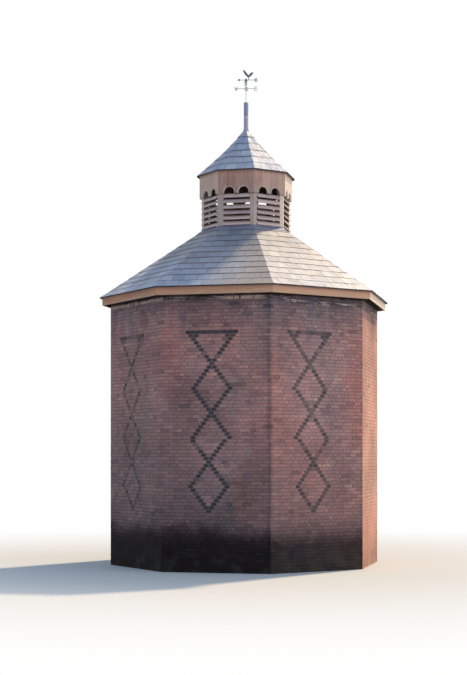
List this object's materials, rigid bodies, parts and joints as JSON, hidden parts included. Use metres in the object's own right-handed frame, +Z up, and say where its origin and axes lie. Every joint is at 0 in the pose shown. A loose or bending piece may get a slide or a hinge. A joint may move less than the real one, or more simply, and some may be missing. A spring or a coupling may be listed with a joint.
{
  "type": "octagonal dovecote",
  "caption": "Octagonal brick dovecote with a slated roof, a louvred timber lantern with arched flight holes, and a turning weathervane.",
  "frame": {"origin": "on the ground in the middle of the octagon", "axes": "+Z up, -Y out of the front wall, +X out of the right wall"},
  "size_m": [6.29, 6.29, 11.5098],
  "materials": {
    "brick": "matte",
    "floor_brick": "matte",
    "slate": "satin",
    "oak": "matte",
    "fascia_timber": "matte",
    "rafter_timber": "matte",
    "door_timber": "matte",
    "stone": "matte",
    "lead": "satin",
    "iron": "satin"
  },
  "bodies": {
    "dovecote": {"cardinal_arms": "iron", "door_frame": "door_timber", "door_leaf": "door_timber", "door_lintel": "oak", "door_straps": "iron", "door_threshold": "stone", "eaves_fascia": "fascia_timber", "finial_post": "oak", "flight_board_back": "oak", "flight_board_back_left": "oak", "flight_board_back_right": "oak", "flight_board_front": "oak", "flight_board_front_left": "oak", "flight_board_front_right": "oak", "flight_board_left": "oak", "flight_board_right": "oak", "ground_floor": "floor_brick", "hip_rafters": "rafter_timber", "lantern_apron": "lead", "lantern_curb": "rafter_timber", "lantern_head": "rafter_timber", "lantern_hips": "rafter_timber", "lantern_louvres": "oak", "lantern_posts": "oak", "lantern_roof": "slate", "lead_cap": "lead", "lead_saddle": "lead", "rafters": "rafter_timber", "roof_back": "slate", "roof_back_left": "slate", "roof_back_right": "slate", "roof_front": "slate", "roof_front_left": "slate", "roof_front_right": "slate", "roof_left": "slate", "roof_right": "slate", "vane_spindle": "iron", "wall_back": "brick", "wall_back_left": "brick", "wall_back_right": "brick", "wall_front": "brick", "wall_front_left": "brick", "wall_front_right": "brick", "wall_left": "brick", "wall_plate": "rafter_timber", "wall_right": "brick"},
    "vane": {"vane_sleeve": "iron", "vane_arrow": "iron", "vane_bird": "iron"}
  },
  "joints": [
    {"name": "vane_spin", "type": "hinge", "parent": "dovecote", "child": "vane", "pos_m": [0, 0, 11.2], "axis": [0, 0, 1], "continuous": true}
  ]
}
